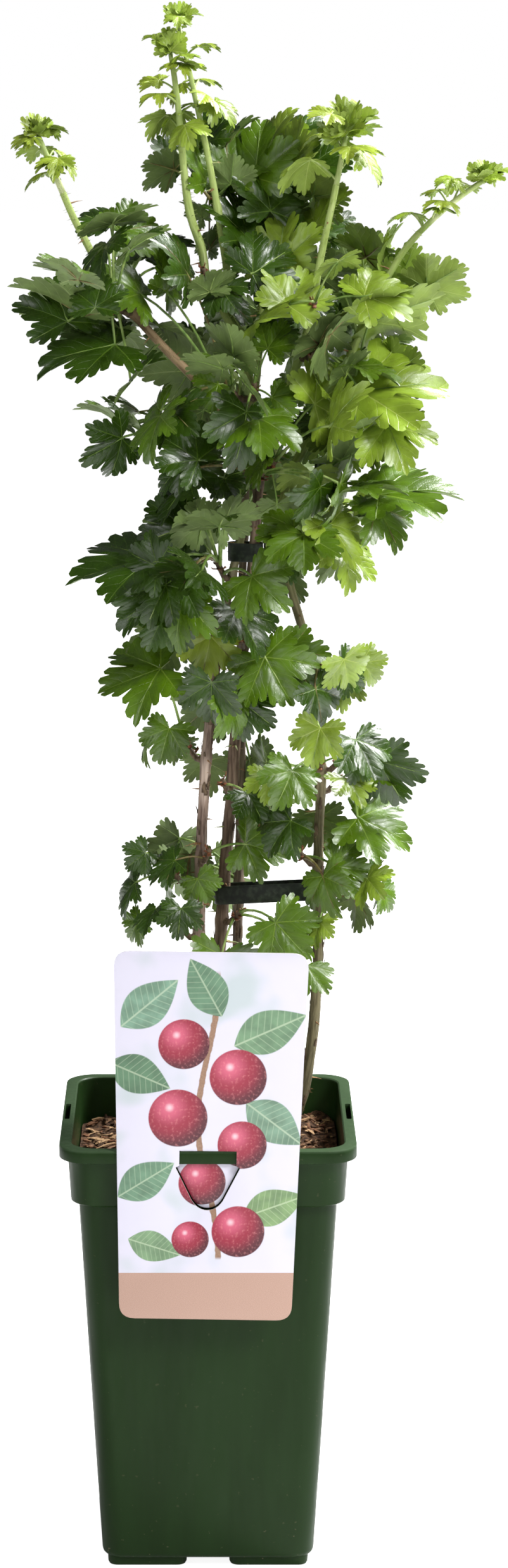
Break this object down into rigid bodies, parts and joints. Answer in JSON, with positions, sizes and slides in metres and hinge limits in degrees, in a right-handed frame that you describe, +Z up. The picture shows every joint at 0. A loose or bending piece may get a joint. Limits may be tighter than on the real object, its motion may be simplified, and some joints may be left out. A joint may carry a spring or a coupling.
{
  "type": "potted gooseberry bush",
  "caption": "Potted gooseberry bush: woody stems and green shoots with lobed leaves rise from a square nursery pot of mix, with a card label hung on its rim.",
  "frame": {"origin": "centre of the pot's flat underside", "axes": "+Z up along the plant, -Y the front where the label hangs, +X to the right seen from the front"},
  "size_m": [0.2468, 0.2134, 0.7939],
  "materials": {
    "pot_plastic": "dark green moulded plastic, satin",
    "potting_mix": "brown wood fibre and peat, rough",
    "label_card": "pale printed plastic card, satin",
    "bark": "brown and grey bark with spines",
    "green_shoot": "smooth green young stem with spines",
    "leaf": "mid green lobed leaves, satin",
    "young_leaf": "lime green pleated young leaves",
    "tie_rubber": "black green soft tie, dull"
  },
  "bodies": {
    "root": {"label": "label_card", "leaves_back_crown": "leaf", "leaves_back_high": "leaf", "leaves_back_low": "leaf", "leaves_back_mid": "leaf", "leaves_back_shoulder": "leaf", "leaves_back_top": "leaf", "leaves_centre_crown_front": "leaf", "leaves_centre_crown_left": "leaf", "leaves_centre_foot": "leaf", "leaves_centre_front": "leaf", "leaves_centre_gap": "leaf", "leaves_centre_high_front": "leaf", "leaves_centre_high_left": "leaf", "leaves_centre_high_right": "leaf", "leaves_centre_mid": "leaf", "leaves_centre_top": "leaf", "leaves_far_shoot_foot": "leaf", "leaves_far_shoot_mid": "leaf", "leaves_left_bend": "leaf", "leaves_left_foot": "leaf", "leaves_left_low_front": "leaf", "leaves_left_low_side": "leaf", "leaves_left_mid_side": "leaf", "leaves_left_shoot_foot": "leaf", "leaves_left_shoot_mid": "leaf", "leaves_left_twig": "leaf", "leaves_left_upper": "leaf", "leaves_mid_shoot_foot": "leaf", "leaves_mid_shoot_side": "leaf", "leaves_right_back": "leaf", "leaves_right_crown": "leaf", "leaves_right_foot": "leaf", "leaves_right_high_side": "leaf", "leaves_right_inner": "leaf", "leaves_right_low_front": "leaf", "leaves_right_low_side": "leaf", "leaves_right_mid_side": "leaf", "leaves_right_spur": "leaf", "leaves_right_upper_front": "leaf", "leaves_right_upper_side": "leaf", "leaves_tall_shoot": "leaf", "pot": "pot_plastic", "shoot_far_right": "green_shoot", "shoot_left": "green_shoot", "shoot_mid_right": "green_shoot", "shoot_tall_left": "green_shoot", "shoot_tall_right": "green_shoot", "soil": "potting_mix", "stem_back": "bark", "stem_centre": "bark", "stem_left": "bark", "stem_right": "bark", "tie_lower": "tie_rubber", "tie_upper": "tie_rubber", "tip_far_right": "young_leaf", "tip_left": "young_leaf", "tip_mid_right": "young_leaf", "tip_tall_left": "young_leaf", "tip_tall_right": "young_leaf"}
  },
  "joints": []
}
